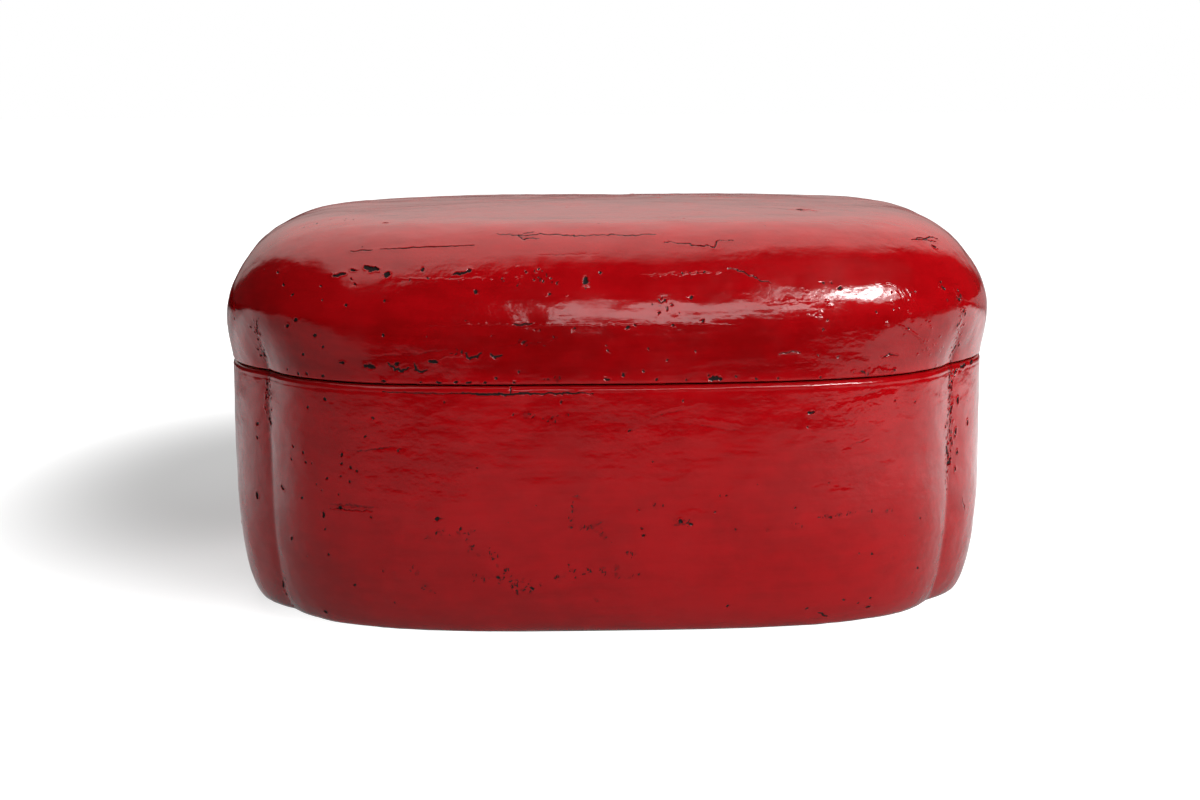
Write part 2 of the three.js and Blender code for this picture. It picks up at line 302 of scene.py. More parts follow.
def lid_row(depth, drop, turn, shrink=1.0):
    """A level of the lid; turn goes from 0 at its lower edge to a quarter turn on top."""
    return (depth, drop, turn, shrink)


def lid_turn(height):
    """The turn at which the lid's outside is at a height above its lower edge."""
    return math.asin((height / LID["Height"]) ** (LID["Height squareness"] / 2))


def spread(low, high, count):
    return [low + (high - low) * i / (count - 1) for i in range(count)]


def quarter_roll(count):
    """Points of a rounded edge, as (share across, share up), from its outside to its top."""
    return [(1 - math.cos(turn), math.sin(turn)) for turn in spread(0, math.pi / 2, count)]


# Sweeping a profile round the lobes


def grid_mesh(name, rows, closed_ring, angles, closed_around):
    """A mesh of rows by angles that carries each point's place in the plan and profile rule."""
    count = len(angles)
    spots = []
    levels = []
    for depth, drop, level, shrink in rows:
        for angle in angles:
            spots += (shrink * math.cos(angle), shrink * math.sin(angle), shrink)
            levels += (depth, drop, level)
    faces = []
    row_pairs = [(i, i + 1) for i in range(len(rows) - 1)]
    if closed_ring:
        row_pairs.append((len(rows) - 1, 0))
    around = range(count if closed_around else count - 1)
    for low, high in row_pairs:
        for i in around:
            j = (i + 1) % count
            faces.append((low * count + i, low * count + j, high * count + j, high * count + i))
    if not closed_ring:
        for row, flip in ((0, True), (len(rows) - 1, False)):
            middle = len(spots) // 3
            spots += (0.0, 0.0, 0.0)
            levels += rows[row][:3]
            for i in around:
                j = (i + 1) % count
                corner = (row * count + i, row * count + j, middle)
                faces.append(corner[::-1] if flip else corner)
    if not closed_around:
        section = range(len(rows))
        faces.append([row * count for row in section])
        faces.append([row * count + count - 1 for row in section][::-1])
    mesh = bpy.data.meshes.new(name)
    mesh.from_pydata([(0, 0, 0)] * (len(spots) // 3), [], faces)
    mesh.attributes.new("spot", "FLOAT_VECTOR", "POINT").data.foreach_set("vector", spots)
    mesh.attributes.new("level", "FLOAT_VECTOR", "POINT").data.foreach_set("vector", levels)
    return mesh


def read_attribute(tree, name, kind):
    node = add_node(tree, "GeometryNodeInputNamedAttribute", {"Name": name}, data_type=kind)
    return Wire(next(socket for socket in node.outputs if socket.enabled))


def body_profile(size, depth, drop, level, shrink, on_end_lobe):
    """Insets at the ends and front, height and how far the grooves have faded, for the body."""
    share = (1 - level / size["Base curve height"]).most(0).least(1)
    squareness = size["Base curve squareness"]
    tuck = 1 - (1 - share**squareness) ** (1 / squareness)
    ends = depth + size["Base tuck at ends"] * tuck
    front = depth + size["Base tuck at front"] * tuck
    return ends, front, level, drop


def lid_profile(size, depth, drop, level, shrink, on_end_lobe):
    """Insets at the ends and front, height and how far the grooves have faded, for the lid."""
    cosine = level.cos().most(0)
    rise = level.sin().most(0) ** (2 / size["Height squareness"])
    swell = ((rise / size["Swell share"]).least(1) * math.pi).sin()
    ends = depth + size["Top inset at ends"] * (1 - cosine ** (2 / size["End squareness"]))
    front = depth + size["Top inset at front"] * (1 - cosine ** (2 / size["Front squareness"]))
    crown = size["Crown height"] * (1 - shrink * shrink)
    height = size["Lower edge"] + (size["Height"] - drop) * rise + crown
    faded = rise.between(0, size["Groove fade share"])
    return ends - size["Swell at ends"] * swell * on_end_lobe, front, height, faded


def lobed_plan(size, spot_x, spot_y, faded):
    """The plan's reach in the spot's direction, and how deep in a groove the spot lies."""
    left_over = 1 - faded

    def lobe(across, along, squareness):
        return superellipse(spot_x, spot_y, across, along, squareness, 1e-9)

    long_squareness = size["Long lobe squareness"]
    end_squareness = long_squareness + (size["End lobe squareness"] - long_squareness) * left_over
    inner_width = size["Half width"] - size["End lobe stand-out"] * left_over
    long_lobe = lobe(inner_width, size["Half depth"], long_squareness)
    sooner = 1 - faded * size["Long lobes merge sooner"]
    inner_depth = size["Half depth"] - size["Long lobe stand-out"] * left_over * sooner
    end_lobe = lobe(size["Half width"], inner_depth, end_squareness)
    radius = long_lobe.smooth_most(end_lobe, size["Groove rounding"] * left_over + 1e-6)
    valley = (1 - abs(long_lobe - end_lobe) / size["Groove reach"]).most(0) * left_over
    return radius, valley


def waved_outwards(tree, size, depth):
    """How the waves move the coat's outside along its normals; its inside stays."""
    here = wired(tree, "GeometryNodeInputPosition")
    normal = wired(tree, "GeometryNodeInputNormal")
    outside = (1 - depth / size["Coat thickness"]).most(0)
    wave = -1 * size["Waves sink"]
    for wave_name, scale in WAVE_SCALES.items():
        wave = wave + (noise(tree, here, scale) - 0.5) * size[wave_name]
    values = {0: normal, 3: wave.least(0) * outside}
    return add_node(tree, "ShaderNodeVectorMath", values, operation="SCALE")


def lobed_tree(name, profile_sizes, profile):
    """Geometry nodes that put a swept grid's points on the four-lobed plan and wave its outside."""
    tree = bpy.data.node_groups.new(name, "GeometryNodeTree")
    sizes = {**PLAN, **profile_sizes, **WAVE_DEPTHS}
    tree.interface.new_socket("Grid", in_out="INPUT", socket_type="NodeSocketGeometry")
    for size_name, value in sizes.items():
        socket = tree.interface.new_socket(size_name, in_out="INPUT", socket_type="NodeSocketFloat")
        socket.default_value = value
    tree.interface.new_socket("Finish", in_out="INPUT", socket_type="NodeSocketMaterial")
    tree.interface.new_socket("Skin", in_out="OUTPUT", socket_type="NodeSocketGeometry")
    given = tree.nodes.new("NodeGroupInput").outputs
    size = {size_name: Wire(given[size_name]) for size_name in sizes}

    spot_x, spot_y, shrink = parts_of(tree, read_attribute(tree, "spot", "FLOAT_VECTOR"))
    depth, drop, level = parts_of(tree, read_attribute(tree, "level", "FLOAT_VECTOR"))
    on_end_lobe = (abs(spot_x) / shrink.most(0.01)).between(*SWELL_SPAN)
    ends, front, height, faded = profile(size, depth, drop, level, shrink, on_end_lobe)
    radius, valley = lobed_plan(size, spot_x, spot_y, faded)
    x = radius * spot_x * (1 - ends / size["Half width"]) * shrink
    y = radius * spot_y * (1 - front / size["Half depth"]) * shrink
    place = wired(tree, "ShaderNodeCombineXYZ", {0: x, 1: y, 2: height})
    values = {"Geometry": Wire(given["Grid"]), "Position": place}
    placed = add_node(tree, "GeometryNodeSetPosition", values)
    values = {"Geometry": placed, "Name": "valley", "Value": valley}
    settings = {"data_type": "FLOAT", "domain": "POINT"}
    marked = add_node(tree, "GeometryNodeStoreNamedAttribute", values, **settings)
    values = {"Geometry": marked, "Offset": waved_outwards(tree, size, depth)}
    waved = add_node(tree, "GeometryNodeSetPosition", values)
    values = {"Geometry": waved, "Material": Wire(given["Finish"])}
    finished = add_node(tree, "GeometryNodeSetMaterial", values)
    add_node(tree, "NodeGroupOutput", {0: finished})
    return tree


BODY_TREE = lobed_tree("lobed_body", BODY, body_profile)
LID_TREE = lobed_tree("lobed_lid", LID, lid_profile)


def put_in_scene(name, data):
    thing = bpy.data.objects.new(name, data)
    bpy.context.scene.collection.objects.link(thing)
    return thing


def places_of(mesh):
    places = np.empty(len(mesh.vertices) * 3)
    mesh.vertices.foreach_get("co", places)
    return places.reshape(-1, 3)


def evaluated(carrier):
    graph = bpy.context.evaluated_depsgraph_get()
    return bpy.data.meshes.new_from_object(carrier.evaluated_get(graph))


def swept(
    name, rows, tree, finish, closed_ring=True, angles=ALL_ANGLES, closed_around=True, flaws=None
):
    """A plain mesh object: the rows swept round the lobed plan, with the flaws that it is given."""
    grid = grid_mesh(name + "_grid", rows, closed_ring, angles, closed_around)
    carrier = put_in_scene(name + "_grid", grid)
    modifier = carrier.modifiers.new("lobes", "NODES")
    modifier.node_group = tree
    sockets = {item.name: item.identifier for item in tree.interface.items_tree}
    modifier[sockets["Finish"]] = finish
    strokes = []
    if flaws:
        surface = Surface(evaluated(carrier), rows)
        flaws(surface)
        strokes = surface.strokes
        for margin in REFINING_MARGINS:
            refine(grid, evaluated(carrier), strokes, margin)
    mesh = evaluated(carrier)
    mesh.name = name
    bpy.data.objects.remove(carrier)
    for attribute in ("spot", "level"):
        mesh.attributes.remove(mesh.attributes[attribute])
    shell = bmesh.new()
    shell.from_mesh(mesh)
    bmesh.ops.triangulate(shell, faces=[face for face in shell.faces if len(face.verts) > 4])
    bmesh.ops.recalc_face_normals(shell, faces=shell.faces)
    shell.to_mesh(mesh)
    shell.free()
    if strokes:
        press_in(mesh, strokes)
    mesh.polygons.foreach_set("use_smooth", [True] * len(mesh.polygons))
    return put_in_scene(name, mesh)


# Flaws of the lacquer


@dataclass
class Stroke:
    """A flaw along a line of points; sink is its depth, and raised is its height or its edge's."""

    line: np.ndarray
    half_width: float
    sink: float = 0.0
    raised: float = 0.0
    # How far the lacquer is worn through; for the hollows beside ridges it is painted shade.
    bare: float = 0.0
    taper: float = 0.0
    softness: float = FLAW_SOFTNESS

    def near(self, places, margin):
        """The indices of the places within the line's box, grown by its half width and a margin."""
        reach = self.half_width + margin
        low = self.line.min(axis=0) - reach
        high = self.line.max(axis=0) + reach
        inside = np.nonzero((places[:, 0] > low[0]) & (places[:, 0] < high[0]))[0]
        rest = places[inside]
        return inside[np.all((rest > low) & (rest < high), axis=1)]

    def distances(self, places):
        """Each place's distance from the line, and how far along the line its nearest point is."""
        nearest = np.full(len(places), np.inf)
        along = np.zeros(len(places))
        steps = len(self.line) - 1
        for step in range(steps):
            start = self.line[step]
            leg = self.line[step + 1] - start
            share = np.clip((places - start) @ leg / max(leg @ leg, 1e-12), 0, 1)
            distance = np.linalg.norm(places - start - share[:, None] * leg, axis=1)
            closer = distance < nearest
            nearest[closer] = distance[closer]
            along[closer] = (step + share[closer]) / steps
        return nearest, along


def refine(grid, shown, strokes, margin):
    """Splits the grid's long edges that lie near a stroke on the shown mesh."""
    places = places_of(shown)
    ends = np.empty(len(grid.edges) * 2, dtype=np.int32)
    grid.edges.foreach_get("vertices", ends)
    first, second = places[ends[0::2]], places[ends[1::2]]
    long_edges = np.nonzero(np.linalg.norm(second - first, axis=1) > FLAW_STEP)[0]
    middles = ((first + second) / 2)[long_edges]
    chosen = np.zeros(len(long_edges), dtype=bool)
    for stroke in strokes:
        near = stroke.near(middles, margin)
        distance, _ = stroke.distances(middles[near])
        chosen[near[distance < stroke.half_width + margin]] = True
    shell = bmesh.new()
    shell.from_mesh(grid)
    shell.edges.ensure_lookup_table()
    edges = [shell.edges[i] for i in long_edges[chosen]]
    bmesh.ops.subdivide_edges(shell, edges=edges, cuts=1, use_grid_fill=True, use_single_edge=True)
    shell.to_mesh(grid)
    shell.free()


def smooth_share(values):
    share = np.clip(values, 0, 1)
    return share * share * (3 - 2 * share)


def ragged(place):
    """How far a flaw's edge swings out or in at a place, in shares of its half width."""
    coarse, middle, fine = (grain_at(place * scale) for scale in (260, 800, 1900))
    return 0.35 * coarse + 0.55 * middle + 0.3 * fine


def press_in(mesh, strokes):
    """Sinks and raises the mesh along the strokes, and keeps per point how far the lacquer is worn
    through, with the painted shade of the hollows in the same value.
    """
    places = places_of(mesh)
    normals = np.empty(len(places) * 3)
    mesh.vertex_normals.foreach_get("vector", normals)
    sunk, raised, bare = np.zeros((3, len(places)))
    for stroke in strokes:
        near = stroke.near(places, 1.2 * MM)
        distance, along = stroke.distances(places[near])
        rough = np.array([ragged(Vector(p)) for p in places[near]])
        reach = stroke.half_width * (1 - stroke.taper * (2 * along - 1) ** 2) * (1 + rough)
        inside = smooth_share((reach - distance) / stroke.softness + 0.5)
        sunk[near] = np.maximum(sunk[near], stroke.sink * inside)
        bare[near] = np.maximum(bare[near], stroke.bare * inside)
        if stroke.sink > 0:
            bump = np.exp(-(((distance - reach - 0.3 * MM) / (0.3 * MM)) ** 2))
        else:
            bump = smooth_share((reach - distance) / stroke.half_width)
        raised[near] = np.maximum(raised[near], stroke.raised * bump)
    offset = raised * (1 - smooth_share(sunk / (0.2 * MM))) - sunk
    places += normals.reshape(-1, 3) * offset[:, None]
    places[:, 2] = np.minimum(places[:, 2], LID_TOP)
    mesh.vertices.foreach_set("co", places.ravel())
    mesh.attributes.new("bare", "FLOAT", "POINT").data.foreach_set("value", bare)
    mesh.update()


# The directions in plan from which the places of flaws are seen
SIDES = {"right": 0.0, "back": 90.0, "left": 180.0, "front": -90.0}


class Surface:
    """One coat's skin, and the strokes laid on it as seen from a side.

    A flaw's sizes come first, then its points, across and up on the side, all in millimetres.
    """

    def __init__(self, mesh, rows):
        places = places_of(mesh)
        faces = [tuple(polygon.vertices) for polygon in mesh.polygons]
        self.skin = BVHTree.FromPolygons([Vector(place) for place in places], faces)
        depths = np.empty(len(places))
        mesh.attributes["valley"].data.foreach_get("value", depths)
        outer = [i for i, row in enumerate(rows) if row[0] == 0.0 and row[3] == 1.0]
        self.grooves = {}
        for groove, column in GROOVES.items():
            columns = (column + np.arange(-GROOVE_DRIFT, GROOVE_DRIFT + 1)) % len(ALL_ANGLES)
            spots = [row * len(ALL_ANGLES) + columns for row in outer]
            self.grooves[groove] = places[[spot[depths[spot].argmax()] for spot in spots]]
        self.side = "front"
        self.strokes = []
        self.random = random.Random(11)

    def place(self, across, up):
        """The skin's point at a place on the side or, with its y for up, on the top."""
        if self.side == "top":
            start, sight = Vector((across * MM, up * MM, 1)), Vector((0, 0, -1))
        else:
            angle = math.radians(SIDES[self.side])
            towards = Vector((math.cos(angle), math.sin(angle), 0))
            aside = Vector((-math.sin(angle), math.cos(angle), 0))
            start, sight = towards + aside * across * MM + Vector((0, 0, up * MM)), -towards
        return self.skin.ray_cast(start, sight)[0]

    def nearest(self, place):
        return self.skin.find_nearest(place)[0]

    def line(self, points, waviness=0.0):
        """Points on the skin every 1.5 mm or so along a line, thrown a little to either side."""
        found = []
        for (a0, b0), (a1, b1) in zip(points, points[1:]):
            length = math.hypot(a1 - a0, b1 - b0)
            steps = max(math.ceil(length / 1.5), 1)
            for step in range(steps + 1):
                share = step / steps
                throw = waviness * self.random.uniform(-1, 1) / max(length, 1e-6)
                across = a0 + (a1 - a0) * share + (b1 - b0) * throw
                up = b0 + (b1 - b0) * share - (a1 - a0) * throw
                hit = self.place(across, up)
                if hit:
                    found.append(hit)
        return found

    def add(self, line, width, **looks):
        if len(line) > 1:
            self.strokes.append(Stroke(np.array(line), width / 2 * MM, **looks))

    def chips(self, *flakes):
        """Flakes gone down to the dark ground, with a lifted edge."""
        for flake in flakes:
            self.chip(*flake)

    def chip(self, across, up, length, width, lean=0.0):
        run = max(length - width, 0.1) / 2
        dx, dy = run * math.cos(math.radians(lean)), run * math.sin(math.radians(lean))
        line = self.line([(across - dx, up - dy), (across + dx, up + dy)], 0.25 * width)
        self.add(line, width, sink=0.4 * MM, raised=0.16 * MM, bare=1.0, taper=0.3)

    def pits(self, width, *spots):
        """Small round holes in the lacquer."""
        for across, up in spots:
            line = self.line([(across, up), (across + self.random.uniform(-0.5, 0.5), up + 0.3)])
            width_here = width * self.random.uniform(0.5, 0.95)
            bare = self.random.uniform(0.6, 1)
            self.add(line, width_here, sink=0.25 * MM, raised=0.02 * MM, bare=bare)

    def crack(self, width, bare, *points, waviness=0.5):
        line = self.line(points, waviness)
        self.add(line, width, sink=0.2 * MM, raised=0.06 * MM, bare=bare, taper=0.4)

    def wrinkle(self, width, height, *points):
        self.add(self.line(points, 0.4), width, raised=height * MM, taper=0.6)

    def painted_shade_sag(self, width, bare, *points):
        """A shallow hollow with a darker red line that is painted shade, standing for the shadow of
        a ridge beside it.
        """
        line = self.line(points, 0.3)
        self.add(line, width, sink=0.04 * MM, bare=bare, taper=0.8, softness=0.8 * MM)

    def near_line(self, points, spread_by):
        """A place at random on a line through the points or a little off it."""
        leg = self.random.randrange(len(points) - 1)
        share = self.random.random()
        (a0, b0), (a1, b1) = points[leg], points[leg + 1]
        across = a0 + (a1 - a0) * share + self.random.gauss(0, spread_by / 2)
        up = b0 + (b1 - b0) * share + self.random.gauss(0, spread_by / 2)
        return across, up

    def somewhere(self, low, high):
        return [self.random.uniform(a, b) for a, b in zip(low, high)]

    def crackle(self, count, spread_by, *points):
        """Short dark scratches near a line, most of them upright, over worn, speckled patches."""
        for number in range(count):
            across, up = self.near_line(points, spread_by)
            length = self.random.uniform(0.2, 1.3)
            lean = self.random.choice((80, 100, 60, 125, 20)) + self.random.uniform(-12, 12)
            lean = math.radians(lean)
            end = (across + length * math.cos(lean), up + length * math.sin(lean))
            line = self.line([(across, up), end], 0.2)
            if number % 2 == 0:
                width, bare = self.somewhere((1.0, 0.12), (2.2, 0.24))
                self.add(line, width, bare=bare, softness=1.2 * MM)
            else:
                width, bare = self.somewhere((0.24, 0.5), (0.44, 1))
                self.add(line, width, sink=0.08 * MM, bare=bare)

    def bubbles(self, count, size, spread_by, *points):
        """Small blisters along a line."""
        for _ in range(count):
            across, up = self.near_line(points, spread_by)
            line = self.line([(across, up), (across + 0.4, up)])
            width = size * self.random.uniform(0.6, 1.2)
            self.add(line, width, raised=self.random.uniform(0.1, 0.25) * MM)

    def scattered(self, side, low, high, chips=0, pits=0, cracks=0):
        """Flaws at random between two corners of a side."""
        self.side = side
        for _ in range(chips):
            across, up = self.somewhere(low, high)
            length = self.random.uniform(1.4, 4.5)
            width = length * self.random.uniform(0.3, 0.6)
            self.chip(across, up, length, width, self.random.gauss(0, 30))
        for _ in range(pits):
            across, up = self.somewhere(low, high)
            self.pits(self.random.uniform(0.4, 0.8), (across, up))
        for _ in range(cracks):
            across, up = self.somewhere(low, high)
            bend = [(across, up)]
            for _ in range(self.random.randrange(2, 6)):
                across += self.random.uniform(4, 9)
                up += self.random.gauss(0, 1.2)
                bend.append((across, up))
            self.crack(0.4, 0.75, *bend, waviness=0.6)

    def crust(self, groove, low, high, count):
        """Crumbs and gaps of old filler along a groove, between two heights."""
        valley = self.grooves[groove]
        for _ in range(count):
            height = self.random.uniform(low, high) * MM
            middle = Vector(valley[np.abs(valley[:, 2] - height).argmin()])
            throw = [self.random.gauss(0, 1.5 * MM) for _ in range(3)]
            start = self.nearest(middle + Vector(throw))
            throw = [self.random.gauss(0, reach * MM) for reach in (0.3, 0.3, 0.9)]
            end = self.nearest(start + Vector(throw))
            width = self.random.uniform(0.4, 1.1)
            kind = self.random.random()
            if kind < 0.35:
                bare = self.random.uniform(0.5, 1)
                self.add([start, end], width, sink=0.25 * MM, raised=0.1 * MM, bare=bare)
            elif kind < 0.65:
                bare = self.random.uniform(0.12, 0.3)
                self.add([start, end], width * 1.4, raised=0.16 * MM, bare=bare)
            else:
                self.add([start, end], width * 1.5, raised=0.25 * MM)


def lid_shoulder_flaws(lid):
    """The lens-shaped flake on the left shoulder, its neighbours and the long ripples."""
    lid.chips(
        (-96, 151.3, 7.2, 2.2, -8), (-89.5, 149, 3.2, 2.6, 30), (-109, 148.6, 6.2, 1.2, 8),
        (-103.5, 150.4, 2.4, 1), (-60, 149.9, 7, 1, 10), (-56.8, 150.3, 2.4, 1.8),
        (-10.5, 146.6, 3.6, 2.2, 55)
    )
    lid.pits(1.3, (-106, 137), (-75.5, 151), (-54, 142.5), (-157, 127), (-5, 149.5), (31, 139.8))
    lid.pits(
        1, (-129, 140), (-132.5, 143.5), (-135.5, 148), (-116.5, 144), (-102.5, 145), (-104, 147)
    )
    lid.pits(
        0.9, (-34, 150), (-29.5, 151), (-31, 147), (-27.5, 146.5), (-22, 145.5), (-24.5, 147.5)
    )
    lid.pits(
        0.8, (28, 149), (31, 149.2), (34, 149), (36.5, 149.3), (-29, 127.6), (-15, 128.3),
        (-25, 141.5)
    )
    lid.crackle(16, 4, (-35, 150), (-20, 145))
    lid.crackle(12, 3, (20, 139), (26, 134))
    lid.wrinkle(1.6, 0.16, (-84, 147.5), (-72, 147.4), (-56, 147.6), (-41, 147.6))
    lid.crackle(10, 1, (-84, 147), (-41, 147))
    lid.wrinkle(1.8, 0.2, (11, 148.5), (28, 149), (37, 149), (46, 149.5))
    lid.wrinkle(
        1.4, 0.14, (-80, 129.8), (-52, 130.2), (-32, 129.8), (-5, 129.4), (26, 129.6), (50, 129)
    )
    lid.crack(0.4, 0.8, (46, 151), (50, 150), (57, 147), (63, 144.7))
    lid.crack(0.6, 1, (-39, 129.8), (-32, 129.9))


def lid_top_flaws(lid):
    """Long cracks over the front of the top, and a few flakes."""
    lid.side = "top"
    lid.crack(0.5, 0.6, (-105, -86.5), (-96, -88.6), waviness=0.2)
    lid.crack(0.45, 0.75, (-93, -88.9), (-85, -90.4), (-67, -92.3), (-55, -93), waviness=0.2)
    lid.crack(
        0.5, 0.9, (-46, -87.6), (-37, -89), (-27, -88.2), (-15, -89.6), (0, -88.8), (10, -90),
        (18, -89)
    )
    lid.crack(0.4, 0.8, (-36, -88.8), (-33.5, -87.5), (-31, -86.3))
    lid.crack(0.5, 0.8, (-38, -88.8), (-35, -91.2), (-29, -91))
    lid.crack(0.4, 0.8, (21, -92.8), (31.5, -94), (41, -95), (42, -92.7), (49, -92))
    lid.painted_shade_sag(0.8, 0.2, (-31, -98), (-18, -98.4), (-5, -98))
    lid.crack(0.6, 0.9, (125, -73), (130, -69), (133, -64.5), (137, -61.4))
    lid.crack(0.5, 0.7, (124, -74.5), (130, -70), (136, -65))
    lid.chips((134, -70, 3, 1.4, 40), (81, -41.5, 7, 3.2, 90))
    lid.crack(0.7, 0.6, (76, -44), (80, -40), (85, -40), (88, -44))
    lid.crackle(14, 6, (76, -42), (88, -42))
    lid.crackle(10, 5, (-130, -53), (-96, -60))


def lid_right_shoulder_flaws(lid):
    """The right of the shoulder, with its pit, blisters and ripples."""
    lid.side = "front"
    lid.pits(1.6, (90.5, 142.2), (24, 129), (5.5, 128.4))
    lid.pits(
        0.9, (84.5, 144.4), (87.7, 144.3), (18, 134), (9, 129.3), (35.6, 130.7), (84, 126.4),
        (120, 124.8)
    )
    lid.pits(0.8, (106, 132.4), (113, 133), (85.5, 130), (23.5, 137), (20.7, 138.8), (31, 139.8))
    lid.bubbles(4, 2.4, 1, (85, 137), (88, 135))
    lid.bubbles(8, 1.8, 1.6, (78, 132), (83, 132))
    lid.wrinkle(1.2, 0.22, (106, 143.2), (111, 143.4), (116, 142.4))
    for ray in range(4):
        lid.wrinkle(1.4, 0.1, (114 + 1.6 * ray, 141), (118 + 2.2 * ray, 134 - 0.6 * ray))
    lid.wrinkle(3, 0.1, (60, 137), (72, 138), (82, 138))
    lid.bubbles(34, 1.3, 9, (117, 131), (127, 122), (131, 112))
    lid.bubbles(12, 1.2, 5, (-52, 147), (-20, 146))
    lid.wrinkle(1.6, 0.16, (114, 127), (121, 124), (127, 119))


def lid_lower_front_flaws(lid):
    """The lower front, where the old ground shows most."""
    lid.chips((-131, 127.4, 2, 1.2), (-127.4, 130.4, 2.2, 1, 20))
    lid.pits(1.2, (-119.5, 124.3), (-125.2, 115.8), (-116.3, 119.7), (-117, 107.6), (-123.7, 108))
    lid.pits(
        1.3, (-127.6, 107.5), (-132.6, 108.5), (-35.6, 122.8), (-37.5, 111), (-46.3, 108.6),
        (-91, 125.5)
    )
    lid.chips((-108.5, 114, 2.6, 1.3, 15), (-97, 112.8, 5.4, 1.3, -12), (-86, 114.3, 2.4, 1.3, 30))
    lid.crack(0.8, 1, (-89.4, 114.5), (-86.5, 112), (-83.4, 111.6), (-81.2, 112.6))
    lid.crack(0.7, 0.9, (-78.9, 114.6), (-78.6, 112.2), (-75.8, 110.8), (-74, 112))
    lid.chips((-71.5, 115.2, 4.2, 1.3))
    lid.wrinkle(1.3, 0.22, (-70, 116.2), (-64, 118), (-59, 117.4))
    lid.crackle(10, 2, (-65, 119), (-56, 118))
    lid.crack(0.7, 0.95, (-58.5, 118.4), (-56.5, 116.8), (-54, 117.2), (-52, 118.6))
    lid.crack(0.7, 0.95, (-48.5, 118.4), (-46.8, 116.8), (-44, 118.2))
    lid.painted_shade_sag(1.4, 0.2, (-96, 117), (-80, 118), (-66, 120))
    lid.painted_shade_sag(1, 0.2, (-46, 121), (-36, 122.8), (-29, 122.5), (-22, 124.8))
    lid.crackle(12, 1.4, (-37, 122.8), (-22, 124.5))
    lid.chips(
        (-91.5, 107, 2, 0.9), (-76.5, 107, 1.4, 0.9), (-69.3, 107, 2.6, 0.9),
        (-62.5, 107, 1.8, 0.9), (-57.5, 107, 2.6, 0.9), (-51, 107, 1.6, 0.9),
        (-39.3, 107, 1.6, 0.9)
    )
    lid.crackle(9, 1.2, (-29.5, 108), (-21, 108.5))
    lid.chips((-2.5, 108.1, 2.6, 0.9, -15))
    lid.pits(
        1, (4, 109.6), (12, 111), (21.3, 115.4), (17, 107.6), (29, 107.2), (14, 120), (83, 107)
    )
    lid.chips((40.5, 107.6, 6, 1.7, 4))
    lid.pits(0.9, (49, 108.3), (57, 107.2), (65.6, 107.1), (82, 116), (90, 115), (37.6, 109))
    lid.crack(0.5, 0.5, (66, 117.2), (70, 118), (74.5, 117.3))
    lid.crack(0.5, 0.5, (108, 113.6), (112, 115), (116, 114.2))
    lid.bubbles(22, 1.9, 1.4, (97, 108.6), (116, 108))
    lid.crackle(14, 1.6, (97, 108.4), (116, 107.8))


def lid_flaws(lid):
    lid_shoulder_flaws(lid)
    lid_top_flaws(lid)
    lid_right_shoulder_flaws(lid)
    lid_lower_front_flaws(lid)
    lid.crust("front left", 108, 128, 40)
    lid.crust("front right", 107, 142, 90)
    lid.crust("back left", 107, 138, 30)
    lid.crust("back right", 107, 138, 30)
    lid.scattered("front", (-125, 107), (125, 140), pits=8)
    lid.scattered("top", (-120, -80), (120, 80), chips=4, pits=16, cracks=3)
    lid.scattered("back", (-130, 107), (130, 150), chips=14, pits=24, cracks=4)
    lid.scattered("left", (-75, 107), (30, 145), chips=5, pits=12, cracks=1)
    lid.scattered("right", (-30, 107), (75, 145), chips=5, pits=12, cracks=1)


def rim_flaws(body):
    """Under the rim, where handling has worn the bead's lower side black."""
    crease = (RIM_TOP - RIM_BEAD) / MM
    body.crack(0.5, 0.6, (-92, crease + 0.3), (-76, crease), (-60, crease), waviness=0.2)
    body.crack(0.8, 1, (-60, crease), (-43, crease - 0.1), (-30, crease), waviness=0.3)
    body.crack(0.6, 0.9, (-30, crease), (-20, crease), (-8, crease), waviness=0.3)
    body.crack(0.7, 1, (-40.8, crease), (-40.6, crease + 2.4), waviness=0.1)
    body.chips((149.5, 103.6, 3.8, 1.2, 15), (154.5, 104.2, 3, 1, 25), (145.4, 101.8, 3.4, 1, 60))


def body_left_flaws(body):
    """Pits and thin lines at the left."""
    body.pits(1.3, (-116, 98.2), (-124, 94), (-149, 82), (-149, 76), (-131, 76.6), (-126.6, 75))
    body.pits(
        1.2, (-132, 71), (-125.4, 71), (-110.6, 67), (-116.6, 65.4), (-103.6, 69.6), (-106, 71),
        (-100, 84)
    )
    body.pits(
        1.1, (-96, 91.8), (-86.3, 78.7), (-67.3, 98.9), (-110, 72.4), (-118, 44), (-117, 33),
        (-106.3, 21)
    )
    body.pits(
        1, (-106.6, 65), (-121, 62.5), (-128, 55.6), (-111.5, 59.4), (-98, 51), (-94, 28),
        (-89.5, 14.3)
    )
    body.chips(
        (-109.7, 76, 2.2, 1.3, 70), (-118.4, 50.2, 2.8, 1.6, 75), (-150.3, 50.7, 3.2, 1.8, 85),
        (-133.5, 37, 2, 1.2, 60), (-137, 57.8, 2.6, 0.9, -50)
    )
    body.painted_shade_sag(1, 0.26, (-112, 78.6), (-100, 78.2), (-89.5, 80.6), (-80, 79))
    body.painted_shade_sag(1.5, 0.26, (-116, 54.8), (-107, 55.4), (-95, 55.3))
    body.chips((-111, 53.7, 2.2, 1.2))
    body.crack(0.4, 0.4, (-115.4, 53.3), (-107, 53.6), (-97, 54))
    body.chips((-120, 6, 2, 1.2))


